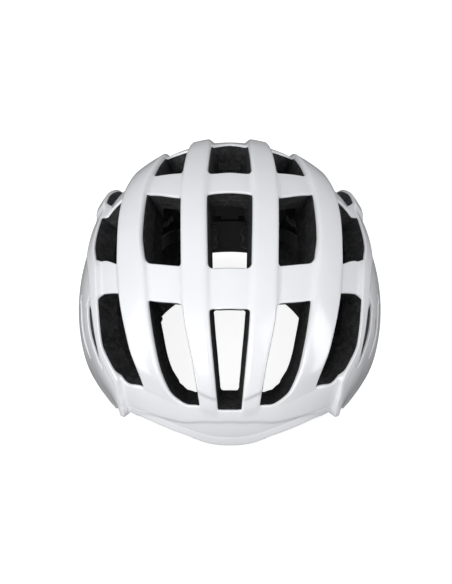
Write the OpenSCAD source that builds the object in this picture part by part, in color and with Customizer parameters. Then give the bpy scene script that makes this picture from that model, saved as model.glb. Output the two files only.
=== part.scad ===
// Cycling helmet: vented shell over a foam liner, with a dial-adjusted cradle,
// webbing straps and a side-release buckle. Front is -Y, the wearer's left is +X, and the rim
// stands on Z = 0.

/* [Dome] */
// Half width of the dome at its widest level
half_w = 105; // [100:1:110]
// Reach of the dome in front of its centre
front_len = 137; // [132:1:142]
// Reach of the dome behind its centre
rear_len = 143; // [138:1:148]
// Height of the dome above its widest level
dome_h = 106; // [102:1:110]
// Height of the widest level above the rim
waist_z = 38; // [36:1:40]

/* [Shell and liner] */
// Thickness of the outer shell
shell_t = 1.2; // [0.8:0.1:1.6]
// How far the ribs stand above the bridges
rib_h = 3.2; // [2:0.1:4]
// Share of the liner's full depth left under a bridge
bridge_share = 0.45; // [0.4:0.05:0.6]
// Height of the rear rim above the ground at its middle
nape_z = 16; // [12:1:18]
// Thickness of a comfort pad
pad_t = 6; // [4:1:7]

/* [Fit system] */
// Angle from level up to the cradle
arm_rise = 4.6; // [4.4:0.1:4.8]
// Radius of the fit dial
dial_r = 13.5; // [12:0.5:14]
// Radius of the temple pivot pins
pivot_r = 2.5; // [2:0.25:2.75]

/* [Straps] */
// Width of the webbing
web_w = 15; // [13:1:15]
// Thickness of the webbing
web_t = 1.2; // [1:0.1:1.4]

/* [Hidden] */
$fn = 48;

// The wearer's sides
LEFT = 1;
RIGHT = -1;

// ---- Dome surface -------------------------------------------------------
// A direction on the dome is given by its distance from the middle plane and by the angle
// around the left-right axis: 0 is level in front, 90 is the crown, 180 is level behind.

// Half axes of the surface the head side of the liner follows
inner_w = 80;
inner_front = 104;
inner_rear = 112;
inner_h = 78;

// Column lines, as distance from the middle plane against angle: the sides of the middle
// vent column, then the inner and outer sides of the second and third vent columns
MIDDLE_EDGE = [[-13, 6], [3, 7], [37, 12], [51, 13], [78, 14], [110, 12], [165, 9], [205, 7]];
SECOND_INNER = [[-13, 16], [4, 20], [18, 24], [38, 31], [52, 32], [80, 33], [93, 32],
                [116, 29], [165, 21], [205, 16]];
SECOND_OUTER = [[-13, 28], [3, 31], [8, 38], [17, 44], [39, 51], [55, 54], [67, 56.5], [88, 55],
                [100, 51], [120, 45], [166, 36], [205, 30]];
THIRD_INNER = [[-11, 53], [6, 57], [23, 65.6], [43, 72], [58, 74], [78, 74.5], [99, 72.5],
               [120, 66], [150, 55], [205, 44]];
THIRD_OUTER = [[-16, 70], [3, 71], [19, 82], [43, 85], [66, 87], [81, 89], [100, 87],
               [125, 81], [150, 73], [205, 64]];
EDGES = [MIDDLE_EDGE, SECOND_INNER, SECOND_OUTER, THIRD_INNER, THIRD_OUTER];

// Row lines, as angles at the middle plane and at the five column lines: front rim, ends of
// the front, middle, crown and rear vents; the rear rim follows from its height
ROWS = [[-13.3, -13.3, -12.6, -10.6, -10.1, -16],
        [3.2, 3.2, 4.2, 3.6, 6, 2.6],
        [36.6, 36.6, 38.2, 39.3, 42.7, 43.3],
        [50.7, 50.7, 52, 54.8, 58.3, 66],
        [79, 77, 79, 87.8, 99, 104],
        [89.5, 89.5, 93.3, 100, 112, 117],
        [116, 114, 116, 121, 140, 145],
        [127, 127, 129, 134, 153, 158],
        [176, 174, 170, 166, 172, 176]];
LAST_ROW = 9;
SIDE = 5;
LAST_COLUMN = 6;

function mix(a, b, t) = a * (1 - t) + b * t;
function unit(v) = v / norm(v);
function ramp(x, low, high) = let(t = max(0, min(1, (x - low) / (high - low)))) t * t * (3 - 2 * t);

function chart_dir(x, angle) =
    let(side = x / half_w, round = sqrt(1 - side * side))
    [side, -round * cos(angle), round * sin(angle)];

// Height of the rear rim, arched over the neck
function rear_rim_z(x) = nape_z * (1 - ramp(abs(x), 15, 52));
function rear_rim_angle(x) =
    180 + asin((waist_z - rear_rim_z(x)) / dome_h / sqrt(1 - pow(x / half_w, 2)));

function edge_x(k, angle) = k == 0 ? 0 : lookup(angle, EDGES[k - 1]);
function rear_edge_x(k) = edge_x(k, 205);
function row_knot(k, row) = row == LAST_ROW ? rear_rim_angle(rear_edge_x(k)) : ROWS[row][k];
function row_angle(k, r) =
    let(low = min(floor(r), LAST_ROW - 1)) mix(row_knot(k, low), row_knot(k, low + 1), r - low);

// Rim around the side: compass angle from the front, and height with an arch over the ear
function side_compass(angle) = lookup(angle, [[-16, 52], [205, 128]]);
function side_rim_z(compass) =
    3 * (1 - ramp(compass, 52, 60)) + 9 * ramp(compass, 86, 97) * (1 - ramp(compass, 108, 120));
function side_rim_dir(compass) =
    let(up = (side_rim_z(compass) - waist_z) / dome_h, round = sqrt(1 - up * up))
    [round * sin(compass), -round * cos(compass), up];

// Direction of grid place (c, r): c counts column lines from the middle, r counts row lines
function column_dir(c, r) =
    let(k = min(floor(c), SIDE - 1), t = c - k,
        a0 = row_angle(k, r), a1 = row_angle(k + 1, r))
    chart_dir(mix(edge_x(k, a0), edge_x(k + 1, a1), t), mix(a0, a1, t));
function half_dir(c, r) =
    c <= SIDE ? column_dir(c, r)
              : unit(mix(column_dir(SIDE, r), side_rim_dir(side_compass(row_angle(SIDE, r))), c - SIDE));
function grid_dir(c, r) = let(d = half_dir(abs(c), r)) [sign(c) * d[0], d[1], d[2]];

function dome_axes(n) = [half_w, n[1] < 0 ? front_len : rear_len, dome_h];
function head_axes(n) = [inner_w, n[1] < 0 ? inner_front : inner_rear, inner_h];
function on_axes(n, axes) = [n[0] * axes[0], n[1] * axes[1], n[2] * axes[2] + waist_z];
function full_depth(c, r) =
    let(n = grid_dir(c, r)) norm(on_axes(n, dome_axes(n)) - on_axes(n, head_axes(n)));

// Point of the dome at a depth below the bridge surface; the rim stays at its own height,
// raised by lift
function dome_point(c, r, depth, lift = 0) =
    let(n = grid_dir(c, r), share = depth / full_depth(c, r),
        p = on_axes(n, mix(dome_axes(n), head_axes(n), share)),
        rim = r == 0 || r == LAST_ROW || abs(c) == LAST_COLUMN)
    rim ? [p[0], p[1], on_axes(n, dome_axes(n))[2] + lift] : p;

// ---- Ribs, vents and channels -------------------------------------------
side_rib = 0.16;

function rib_profile(t) = 0.35 + 0.65 * min(1, min(t, 1 - t) / 0.3);
function rib_fade(r) = ramp(r, 0.9, 1.4) * (1 - ramp(r, 8.2, 9));
function rib_lift(c, r) =
    let(a = abs(c))
    a > SIDE && a <= SIDE + side_rib ? rib_profile((a - SIDE) / side_rib) * (1 - ramp(r, 8.2, 9))
    : (a >= 1 && a <= 2) ? rib_profile(a - 1) * rib_fade(r)
    : (a >= 3 && a <= 4) ? rib_profile(a - 3) * rib_fade(r)
    : a == SIDE ? 0.35 * (1 - ramp(r, 8.2, 9)) : 0;
function shell_depth(c, r) = -rib_h * rib_lift(c, r);

// Vents, as column and row limits
VENTS = [[0, 1, 1, 2], [0, 1, 3, 4], [0, 1, 5, 6], [0, 1, 7, 7.5],
         [2, 3, 1, 2], [2, 3, 3, 4], [2, 3, 5, 6], [2, 3, 7, 8],
         [4, 5, 1, 2], [4, 5, 3, 4], [4, 5, 5, 6], [4, 5, 7, 8],
         [5.28, 5.49, 4.5, 6], [5.28, 5.49, 6.5, 7.75]];
SLOTS = [[5.24, 5.28, 1.5, 2.5], [5.44, 5.49, 2, 3]];
function within(c, r, holes) =
    len([for (h = holes) if (abs(c) > h[0] && abs(c) < h[1] && r > h[2] && r < h[3]) 1]) > 0;

// Air channels run under the bridges of the three vent columns
function in_channel(c, r) =
    let(a = abs(c))
    r >= 1 && ((a <= 0.85 && r <= 8) || (a >= 2.1 && a <= 2.9 && r <= 8)
               || (a >= 4.12 && a <= 4.88 && r <= 8));
function rib_share(c, r) =
    mix(0.62, 1, ramp(r, 0.3, 1.6)) - 0.3 * ramp(r, 6.4, 7.6) - 0.15 * ramp(abs(c), 5.3, 6)
    - 0.17 * ramp(r, 0.9, 1.3) * (1 - ramp(r, 3.9, 4.6)) * (1 - ramp(abs(c), 3.9, 4.3));
function liner_share(c, r) =
    in_channel(c, r) ? min(bridge_share + 0.1 * ramp(r, 6, 8), rib_share(c, r)) : rib_share(c, r);
function liner_depth(c, r) = liner_share(c, r) * full_depth(c, r);

// ---- Grids --------------------------------------------------------------
HALF_COLUMNS = [0.85, 1, 1.3, 1.7, 2, 2.1, 2.9, 3, 3.3, 3.7, 4, 4.12, 4.88, 5,
                5.05, 5.11, 5.16, 5.24, 5.28, 5.44, 5.49, 5.64, 5.78, 5.9, 6];
ROW_STEPS = [0, 0.25, 0.6, 1, 1.25, 1.5, 1.75, 2, 2.25, 2.5, 3, 3.25, 3.5, 3.75, 4, 4.5, 5,
             5.33, 5.67, 6, 6.5, 7, 7.25, 7.5, 7.75, 8, 8.33, 8.7, 9];
rim_rows = [0.25, 8.7];
rim_column = 5.9;
function both_sides(steps) = concat([for (i = [len(steps) - 1 : -1 : 0]) -steps[i]], [0], steps);
COLUMNS = both_sides(HALF_COLUMNS);

function in_rim_band(c, r) = r < rim_rows[0] || r > rim_rows[1] || abs(c) > rim_column;

function halves(q) = [[q[0], q[1], q[2]], [q[0], q[2], q[3]]];

// Closed solid between two depths over the grid cells that keep() accepts
module skin(columns, rows, outer, inner, keep, lift = 0) {
    nc = len(columns);
    nr = len(rows);
    layer = nc * nr;
    middle = function (steps, i) (steps[i] + steps[i + 1]) / 2;
    held = [for (j = [0 : nr - 2]) [for (i = [0 : nc - 2]) keep(middle(columns, i), middle(rows, j))]];
    has = function (i, j) i >= 0 && j >= 0 && i < nc - 1 && j < nr - 1 && held[j][i];
    top = function (i, j) j * nc + i;
    low = function (i, j) layer + j * nc + i;
    wall = function (a, b) [top(a[0], a[1]), top(b[0], b[1]), low(b[0], b[1]), low(a[0], a[1])];
    quads = [for (j = [0 : nr - 2]) for (i = [0 : nc - 2]) if (has(i, j)) each concat(
        [[top(i, j), top(i, j + 1), top(i + 1, j + 1), top(i + 1, j)]],
        [[low(i, j), low(i + 1, j), low(i + 1, j + 1), low(i, j + 1)]],
        has(i - 1, j) ? [] : [wall([i, j + 1], [i, j])],
        has(i + 1, j) ? [] : [wall([i + 1, j], [i + 1, j + 1])],
        has(i, j - 1) ? [] : [wall([i, j], [i + 1, j])],
        has(i, j + 1) ? [] : [wall([i + 1, j + 1], [i, j + 1])])];
    points = concat([for (r = rows) for (c = columns) dome_point(c, r, outer(c, r), lift)],
                    [for (r = rows) for (c = columns) dome_point(c, r, inner(c, r), lift)]);
    polyhedron(points, [for (q = quads) each halves(q)]);
}

liner_gap = 0.1;
// The foam stands this far below the shell's edge
foam_lip = 0.5;

module outer_shell()
    color("white")
    skin(COLUMNS, ROW_STEPS, function (c, r) shell_depth(c, r),
         function (c, r) shell_depth(c, r) + shell_t,
         function (c, r) !in_rim_band(c, r) && !within(c, r, VENTS) && !within(c, r, SLOTS),
         foam_lip);

module rim_shell()
    color("whitesmoke")
    skin(COLUMNS, ROW_STEPS, function (c, r) shell_depth(c, r),
         function (c, r) shell_depth(c, r) + shell_t,
         function (c, r) in_rim_band(c, r), foam_lip);

module eps_liner()
    color([0.08, 0.08, 0.09])
    skin(COLUMNS, ROW_STEPS, function (c, r) shell_depth(c, r) + shell_t + liner_gap,
         function (c, r) liner_depth(c, r),
         function (c, r) !within(c, r, VENTS));

// ---- Comfort pads -------------------------------------------------------
pad_gap = 1.8;
PAD_COLOR = [0.12, 0.12, 0.13];

module pad(columns, rows)
    color(PAD_COLOR)
    skin(columns, rows, function (c, r) rib_share(c, r) * full_depth(c, r) + pad_gap,
         function (c, r) rib_share(c, r) * full_depth(c, r) + pad_gap + pad_t,
         function (c, r) true);

function steps(low, high, count) = [for (i = [0 : count]) mix(low, high, i / count)];
function side_steps(side, low, high, count) =
    side > 0 ? steps(low, high, count) : steps(-high, -low, count);

// Column and row limits of each pad
BROW_PAD = [4.2, 0.15, 0.62];
CROWN_PAD = [1.15, 1.85, 3.1, 5.8];
SIDE_PAD = [3.15, 3.85, 2.1, 5];

module front_pad() pad(steps(-BROW_PAD[0], BROW_PAD[0], 16), steps(BROW_PAD[1], BROW_PAD[2], 3));
module crown_pad(side)
    pad(side_steps(side, CROWN_PAD[0], CROWN_PAD[1], 3), steps(CROWN_PAD[2], CROWN_PAD[3], 9));
module side_pad(side)
    pad(side_steps(side, SIDE_PAD[0], SIDE_PAD[1], 3), steps(SIDE_PAD[2], SIDE_PAD[3], 9));

disc_r = 5.5;
disc_t = 0.8;
// Grid places of the discs on one side
DISCS = [[1.5, 3.5], [1.5, 5.3], [3.5, 2.5], [3.5, 4.5], [1.5, 0.4], [3.4, 0.4]];

module fastener_disc(c, r) {
    depth = rib_share(c, r) * full_depth(c, r);
    from = dome_point(c, r, depth + 0.45);
    aim = dome_point(c, r, depth + 10) - from;
    translate(from)
        rotate([0, acos(aim[2] / norm(aim)), atan2(aim[1], aim[0])])
        cylinder(r = disc_r, h = disc_t);
}

module pad_fasteners()
    color("dimgray")
    for (side = [LEFT, RIGHT], d = DISCS) fastener_disc(side * d[0], d[1]);

// ---- Fit system ---------------------------------------------------------
// The arms and the cradle turn about the temple pins
pivot_y = -55;
pivot_z = 30;
pivot_x = 63;
arm_t = 2;
arm_h = 10;
arm_back = 150.5;
arm_run = 36;
eye_r = 6;
eye_t = 3.4;
pin_clear = 0.06;

// Plan of one arm, seen in its own tilted plane with the pivot at the origin
arm_end = 26.2;
arm_bow = 30;
function arm_x(a) = -arm_run - arm_bow * sin(a);
arm_zero = arm_back + pivot_y;

module arm_plan() {
    path = concat([[-arm_end, arm_back]],
                  [for (a = [0 : 6 : 90]) [arm_x(a), arm_back + arm_zero * (cos(a) - 1)]],
                  [[-arm_run - arm_bow * 0.99, arm_back - arm_zero - 20],
                   [-pivot_x - 0.3, eye_r - 1]]);
    for (i = [0 : len(path) - 2]) {
        run = path[i + 1] - path[i];
        translate(path[i])
            rotate(atan2(run[1], run[0]))
            translate([-0.4, -arm_t / 2]) square([norm(run) + 0.8, arm_t]);
    }
}

module along_x(side) translate([side * pivot_x, pivot_y, pivot_z]) rotate([0, side * 90, 0]) children();

module headband_arm(side)
    color([0.15, 0.15, 0.16])
    difference() {
        union() {
            translate([0, pivot_y, pivot_z])
                rotate([arm_rise, 0, 0])
                mirror([side > 0 ? 1 : 0, 0, 0])
                translate([0, 0, -arm_h / 2])
                linear_extrude(arm_h) arm_plan();
            along_x(side) translate([0, 0, -eye_t / 2]) cylinder(r = eye_r, h = eye_t);
        }
        along_x(side) translate([0, 0, -eye_t]) cylinder(r = pivot_r + pin_clear, h = 2 * eye_t);
    }

module temple_anchor(side)
    color([0.2, 0.2, 0.21])
    along_x(side) {
        translate([0, 0, -eye_t / 2 - 1.8]) cylinder(r = 4, h = 1.5);
        translate([0, 0, -eye_t / 2 - 0.6]) cylinder(r = pivot_r, h = eye_t + 2);
        translate([0, 0, eye_t / 2 + 0.4]) cylinder(r = 7.5, h = 1.6);
        translate([0, 0, eye_t / 2 + 1]) cylinder(r = 5, h = 14);
    }

// Cradle plate behind the head
cradle_z = 42;
cradle_in_r = 58.5;
cradle_out_r = 61;
cradle_mid_y = 33.9;
cradle_h = 26;
cradle_half_angle = 34;

module arc_wall(inner_r, outer_r, height, from, sweep)
    rotate([0, 0, from]) rotate_extrude(angle = sweep)
    translate([inner_r, -height / 2]) square([outer_r - inner_r, height]);

module rear_cradle()
    color([0.15, 0.15, 0.16])
    translate([0, cradle_mid_y, cradle_z])
    difference() {
        arc_wall(cradle_in_r, cradle_out_r, cradle_h, 90 - cradle_half_angle, 2 * cradle_half_angle);
        for (a = [-25, -11, 11, 25])
            rotate([0, 0, 90 + a]) translate([cradle_in_r - 2, -2.5, -cradle_h / 2 + 5])
                cube([8, 5, cradle_h - 10]);
    }

// Ladder strap on an arc about the temple pins, with two columns of square holes
ladder_r = 150;
ladder_t = 2;
ladder_w = 13;
ladder_low = 10.2;
ladder_high = 24;
rung_hole = 3;

module pivot_arc(radius, thickness, width, low, high)
    translate([-width / 2, pivot_y, pivot_z])
    rotate([0, 90, 0]) rotate([0, 0, 90 + low])
    rotate_extrude(angle = high - low)
    translate([radius, 0]) square([thickness, width]);

module ladder_holes(columns)
    for (a = [ladder_low + 3 : 2 : ladder_high - 1], x = columns)
        translate([0, pivot_y, pivot_z])
            rotate([a, 0, 0])
            translate([x - rung_hole / 2, ladder_r - 3, -rung_hole / 2])
            cube([rung_hole, 8, rung_hole]);

module height_ladder()
    color([0.17, 0.17, 0.18])
    difference() {
        pivot_arc(ladder_r, ladder_t, ladder_w, ladder_low, ladder_high);
        ladder_holes([-3.2, 3.2]);
    }

clip_low = 62;
clip_h = 9;
clip_half_w = 15;
clip_front = 88;
clip_back = 99.5;
clip_clear = 0.4;

module ladder_clip()
    color([0.2, 0.2, 0.21])
    difference() {
        union() {
            translate([-clip_half_w, clip_front, clip_low])
                cube([2 * clip_half_w, clip_back - clip_front, clip_h]);
            for (side = [LEFT, RIGHT])
                translate([side * 12.5, clip_back, clip_low + clip_h / 2])
                    rotate([-90, 0, 0]) cylinder(r = 2.2, h = 14);
        }
        pivot_arc(ladder_r - clip_clear, ladder_t + 2 * clip_clear,
                  ladder_w + 2 * clip_clear, 8, 22);
    }

// Dial housing: a tray on the cradle with a cover behind it
house_half_w = 26;
house_h = 22;
house_front = 95;
house_back = 101;
cover_back = 103.4;
house_wall = 3;
belt_front = 97.2;
belt_t = 2.4;
slack = 0.3;
screw_x = 24.4;
screw_z = 9.3;
screw_r = 0.9;

module screw_places()
    for (x = [-screw_x, screw_x], z = [-screw_z, screw_z])
        translate([x, 0, cradle_z + z]) rotate([-90, 0, 0]) children();

module dial_axis(y) translate([0, y, cradle_z]) rotate([-90, 0, 0]) children();

pinion_teeth = 12;
tooth_module = 0.8;
pitch_r = tooth_module * pinion_teeth / 2;
belt_half_h = 2.4;
// Height of the toothed edge's root line above the dial's axis
belt_root = pitch_r + 1.1 * tooth_module;
pocket_half_h = belt_root + belt_half_h + slack;

module dial_housing()
    color([0.14, 0.14, 0.15])
    difference() {
        translate([-house_half_w, house_front, cradle_z - house_h / 2])
            cube([2 * house_half_w, house_back - house_front, house_h]);
        translate([-house_half_w + house_wall, belt_front - slack, cradle_z - pocket_half_h])
            cube([2 * (house_half_w - house_wall), 10, 2 * pocket_half_h]);
        translate([house_half_w - 9, belt_front - slack, cradle_z + pitch_r - 1.4])
            cube([10, belt_t + 2 * slack, pocket_half_h - pitch_r + 1.4]);
        translate([-house_half_w - 1, belt_front - slack, cradle_z - pocket_half_h])
            cube([10, belt_t + 2 * slack, pocket_half_h - pitch_r + 1.4]);
        screw_places() translate([0, 0, house_front + 1]) cylinder(r = screw_r, h = 10);
    }

shaft_r = 3;

module housing_cover()
    color([0.16, 0.16, 0.17])
    difference() {
        translate([-house_half_w, house_back, cradle_z - house_h / 2])
            cube([2 * house_half_w, cover_back - house_back, house_h]);
        dial_axis(house_back - 1) cylinder(r = shaft_r + pin_clear, h = 6);
        screw_places() translate([0, 0, house_back - 1]) cylinder(r = screw_r, h = 6);
    }

module cover_screws()
    color("silver")
    screw_places() {
        translate([0, 0, house_front + 1.4]) cylinder(r = screw_r, h = cover_back - house_front - 1.2);
        translate([0, 0, cover_back]) cylinder(r = 1.5, h = 0.8);
    }

// Ratchet spring on the cover, inside the dial
spring_front = cover_back;
spring_t = 1.2;
spring_tip_r = 8.6;

module ratchet_spring()
    color("gainsboro")
    dial_axis(spring_front)
    difference() {
        union() {
            cylinder(r = 6.2, h = spring_t);
            for (a = [0, 180]) rotate([0, 0, a]) translate([4, -0.6, 0])
                cube([spring_tip_r - 4.2, 1.2, spring_t]);
        }
        translate([0, 0, -1]) cylinder(r = 4.6, h = 4);
    }

dial_front = 103.8;
dial_back = 110.4;
dial_teeth = 24;
dial_recess_r = 9;

module fit_dial()
    color([0.1, 0.1, 0.11])
    dial_axis(dial_front)
    difference() {
        cylinder(r = dial_r, h = dial_back - dial_front);
        translate([0, 0, -1]) cylinder(r = dial_recess_r, h = 3);
        for (i = [0 : dial_teeth - 1]) rotate([0, 0, i * 360 / dial_teeth]) {
            translate([dial_recess_r - 0.2, -0.5, -1]) cube([1, 1, 3]);
            if (i % 2 == 0) translate([dial_r + 1.1, 0, -1]) cylinder(r = 2, h = 20);
        }
        translate([0, 0, -1]) cylinder(r = shaft_r, h = 20);
    }

// Pinion and belt teeth have straight flanks and generous backlash
tip_half = 0.34;
root_half = 0.85;
tooth_out = 0.85;
tooth_in = 1.0;
pinion_front = belt_front;
pinion_t = 3;

module pinion_section() {
    tip_r = pitch_r + tooth_out * tooth_module;
    root_r = pitch_r - tooth_in * tooth_module;
    half_at_tip = tip_half * tooth_module;
    half_at_root = root_half * tooth_module;
    circle(r = root_r);
    for (i = [0 : pinion_teeth - 1]) rotate(i * 360 / pinion_teeth)
        polygon([[root_r - 0.4, -half_at_root], [tip_r, -half_at_tip],
                 [tip_r, half_at_tip], [root_r - 0.4, half_at_root]]);
}

module dial_pinion()
    color("ivory")
    dial_axis(0)
    difference() {
        union() {
            translate([0, 0, pinion_front]) linear_extrude(pinion_t)
                rotate(90 + 180 / pinion_teeth) pinion_section();
            translate([0, 0, pinion_front + 0.5])
                cylinder(r = shaft_r, h = dial_back - pinion_front - 1);
        }
        translate([0, 0, pinion_front + 2]) cylinder(r = 1, h = 20);
    }

module dial_screw()
    color("silver")
    dial_axis(0) {
        translate([0, 0, pinion_front + 3]) cylinder(r = 1, h = dial_back - pinion_front - 3);
        translate([0, 0, dial_back]) cylinder(r = 3.6, h = 1.2);
    }

// Toothed belts: the left one runs above the pinion and the right one below it
tooth_pitch = PI * tooth_module;
belt_out = 37;
belt_in = 6;
belt_tooth_tip = 0.3;
belt_tooth_root = 0.72;

module belt_plan() {
    translate([-belt_out, belt_root]) square([belt_out + belt_in, belt_half_h]);
    for (i = [-9 : 2])
        translate([i * tooth_pitch, belt_root + 0.01])
            polygon([[-belt_tooth_root * tooth_module, 0],
                     [-belt_tooth_tip * tooth_module, -1.9 * tooth_module],
                     [belt_tooth_tip * tooth_module, -1.9 * tooth_module],
                     [belt_tooth_root * tooth_module, 0]]);
}

module adjuster_belt(side)
    color([0.3, 0.3, 0.32])
    translate([0, belt_front + belt_t, cradle_z])
    rotate([90, 0, 0])
    linear_extrude(belt_t)
    mirror([side > 0 ? 1 : 0, side < 0 ? 1 : 0]) belt_plan();

module cradle_pad(side)
    color(PAD_COLOR)
    translate([0, cradle_mid_y, cradle_z])
    arc_wall(cradle_in_r - pad_t, cradle_in_r - 0.3, 20, side > 0 ? 62 : 98, 20);

// ---- Straps -------------------------------------------------------------
function catmull(p0, p1, p2, p3, t) =
    0.5 * ((2 * p1) + (p2 - p0) * t + (2 * p0 - 5 * p1 + 4 * p2 - p3) * t * t
           + (3 * p1 - p0 - 3 * p2 + p3) * t * t * t);
function refine(pts, n) =
    let(last = len(pts) - 1)
    concat([for (i = [0 : last - 1]) for (s = [0 : n - 1])
                catmull(pts[max(0, i - 1)], pts[i], pts[i + 1], pts[min(last, i + 2)], s / n)],
           [pts[last]]);

// Flat webbing through route points; widths give the direction it lies in at each point, and
// without them it lies flat on the ground
module webbing(route, widths = []) {
    centre = refine(route, 4);
    last = len(centre) - 1;
    runs = [for (i = [0 : last]) unit(centre[min(last, i + 1)] - centre[max(0, i - 1)])];
    across = len(widths) > 0 ? [for (w = refine(widths, 4)) unit(w)]
                             : [for (run = runs) unit(cross([0, 0, 1], run))];
    corners = [for (i = [0 : last])
        let(side = unit(across[i] - runs[i] * (across[i] * runs[i])), up = cross(side, runs[i]))
        each [centre[i] - side * web_w / 2 - up * web_t / 2, centre[i] + side * web_w / 2 - up * web_t / 2,
              centre[i] + side * web_w / 2 + up * web_t / 2, centre[i] - side * web_w / 2 + up * web_t / 2]];
    around = [for (i = [0 : last - 1]) for (k = [0 : 3])
        let(n = (k + 1) % 4) each halves([4 * i + k, 4 * i + n, 4 * i + 4 + n, 4 * i + 4 + k])];
    ends = concat(halves([3, 2, 1, 0]), halves([4 * last, 4 * last + 1, 4 * last + 2, 4 * last + 3]));
    polyhedron(corners, concat(around, ends));
}

module sided(side) mirror([side > 0 ? 1 : 0, 0, 0]) children();

WEB_COLOR = [0.1, 0.1, 0.11];
low_z = 1.3;
high_z = 3;

module front_strap(side)
    color(WEB_COLOR) sided(side)
    webbing([[-73.6, -32.6, 10], [-72.5, -20, 9], [-69, -8, 6.4], [-64, 1, 3.8], [-60.4, 10, high_z],
             [-60, 22, high_z]],
            [[0.05, 0, 1], [-0.3, 0, 0.95], [-0.8, 0, 0.6], [-1, 0, 0.12], [-1, 0, 0], [-1, 0, 0]]);

module rear_strap(side)
    color(WEB_COLOR) sided(side)
    webbing([[-60, 27, high_z], [-60, 33, high_z], [-60, 38, high_z + 0.1], [-63.6, 43, 7.3],
             [-65.5, 48, 10.2], [-65.6, 56.6, 11]],
            [[-1, 0, 0], [-1, 0, 0], [-1, 0, 0.05], [-0.8, 0, 0.6], [-0.25, 0, 0.96], [0, 0, 1]]);

module front_strap_anchors()
    color([0.2, 0.2, 0.21])
    for (side = [LEFT, RIGHT]) sided(side)
        translate([-86, -41, 2]) cube([14, 8, 16]);

module rear_strap_anchors()
    color([0.2, 0.2, 0.21])
    for (side = [LEFT, RIGHT]) sided(side)
        translate([-78, 57, 3]) cube([13.5, 7, 16]);

// Divider with a cam lever over the webbing
divider_x = 60;
divider_y = 24;
divider_half_w = 10;
divider_half_l = 12;
divider_h = 5.2;
hinge_y = divider_y + 9.5;
hinge_z = 7.4;
hinge_pin_r = 1.1;
lever_l = 18;

module lever_axis(x, length)
    translate([x, hinge_y, hinge_z]) rotate([0, 90, 0]) children();

module divider(side)
    color([0.15, 0.15, 0.16]) sided(side)
    difference() {
        union() {
            translate([-divider_x - divider_half_w, divider_y - divider_half_l, 0.2])
                cube([2 * divider_half_w, 2 * divider_half_l, divider_h - 0.2]);
            for (x = [-divider_x - divider_half_w, -divider_x + divider_half_w - 1.8])
                translate([x, hinge_y - 2.4, divider_h - 0.5]) cube([1.8, 4.8, 4.6]);
        }
        translate([-divider_x - web_w / 2 - slack, divider_y - 20, 0.55])
            cube([web_w + 2 * slack, 40, divider_h - 1.5]);
        lever_axis(-divider_x - 12) cylinder(r = hinge_pin_r + pin_clear, h = 24);
    }

module cam_lever(side)
    color([0.12, 0.12, 0.13]) sided(side)
    union() {
        lever_axis(-divider_x - 9.9) cylinder(r = hinge_pin_r, h = 19.8);
        lever_axis(-divider_x - 7.8) cylinder(r = 1.9, h = 15.6);
        translate([-divider_x - 7.8, hinge_y - lever_l, hinge_z - 1])
            cube([15.6, lever_l, 2.2]);
    }

// Chin straps lie flat along the ground inside the rim and meet at the buckle
buckle_x = -8;
buckle_y = 83;
socket_l = 22;
web_slot_z = 3.3;
RIGHT_CHIN = [[-60, 27, low_z], [-60, 35, low_z], [-58.5, 43, low_z], [-55, 52, low_z],
              [-50.5, 60.5, low_z], [-45, 69, low_z], [-39, 76.5, low_z + 0.5],
              [-33.5, 81.5, web_slot_z], [-27, buckle_y, web_slot_z]];
LEFT_CHIN = [[60, 27, low_z], [60, 35, low_z], [58.5, 43, low_z], [55.2, 52, low_z],
             [51, 61, low_z], [45.5, 70, low_z], [39, 77.5, low_z + 0.5], [32.5, 82, web_slot_z],
             [28, buckle_y, web_slot_z], [18, buckle_y, web_slot_z], [8, buckle_y, web_slot_z]];
module chin_strap_left() color(WEB_COLOR) webbing(LEFT_CHIN);
module chin_strap_right() color(WEB_COLOR) webbing(RIGHT_CHIN);

module strap_keeper()
    color([0.05, 0.05, 0.05])
    translate([-58.1, 46, low_z]) rotate([90, 0, -18])
    linear_extrude(4)
    difference() {
        square([web_w + 4.4, 2.5], center = true);
        square([web_w + 1.8, web_t + 0.6], center = true);
    }

module chin_pad()
    color(PAD_COLOR)
    translate([-53, 56.5, low_z + web_t / 2 + 0.3]) rotate([0, 0, -27])
    translate([-web_w / 2, -6.5, 0]) cube([web_w, 13, 3]);

// Side-release buckle, pulled apart along X
buckle_half_w = 12;
buckle_h = 7;
buckle_low = 0.2;
prong_reach = 13;
prong_low = 2.3;
prong_h = 2.6;
plug_l = 20;

module web_slot(x, length)
    translate([x, -web_w / 2 - slack, web_slot_z - web_t / 2 - 0.4])
        cube([length, web_w + 2 * slack, web_t + 0.8]);

module buckle_socket()
    color([0.1, 0.1, 0.11])
    translate([buckle_x, buckle_y, 0])
    difference() {
        translate([-socket_l, -buckle_half_w, buckle_low]) cube([socket_l, 2 * buckle_half_w, buckle_h]);
        translate([-15, -9, 1.9]) cube([20, 18, 3.6]);
        for (side = [LEFT, RIGHT])
            translate([-13, side * 11 - 2.5, 1.9]) cube([8, 5, 3.6]);
        web_slot(-socket_l - 1, 6);
    }

module buckle_plug()
    color([0.1, 0.1, 0.11])
    translate([buckle_x, buckle_y, 0])
    difference() {
        union() {
            translate([0.4, -buckle_half_w, buckle_low]) cube([plug_l, 2 * buckle_half_w, buckle_h]);
            for (side = [LEFT, RIGHT])
                translate([-prong_reach, side * 7.2 - 1.4, prong_low])
                    cube([prong_reach + 1, 2.8, prong_h]);
            translate([2 - prong_reach, -1.5, prong_low]) cube([prong_reach, 3, prong_h]);
        }
        web_slot(1.5, 30);
    }

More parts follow.
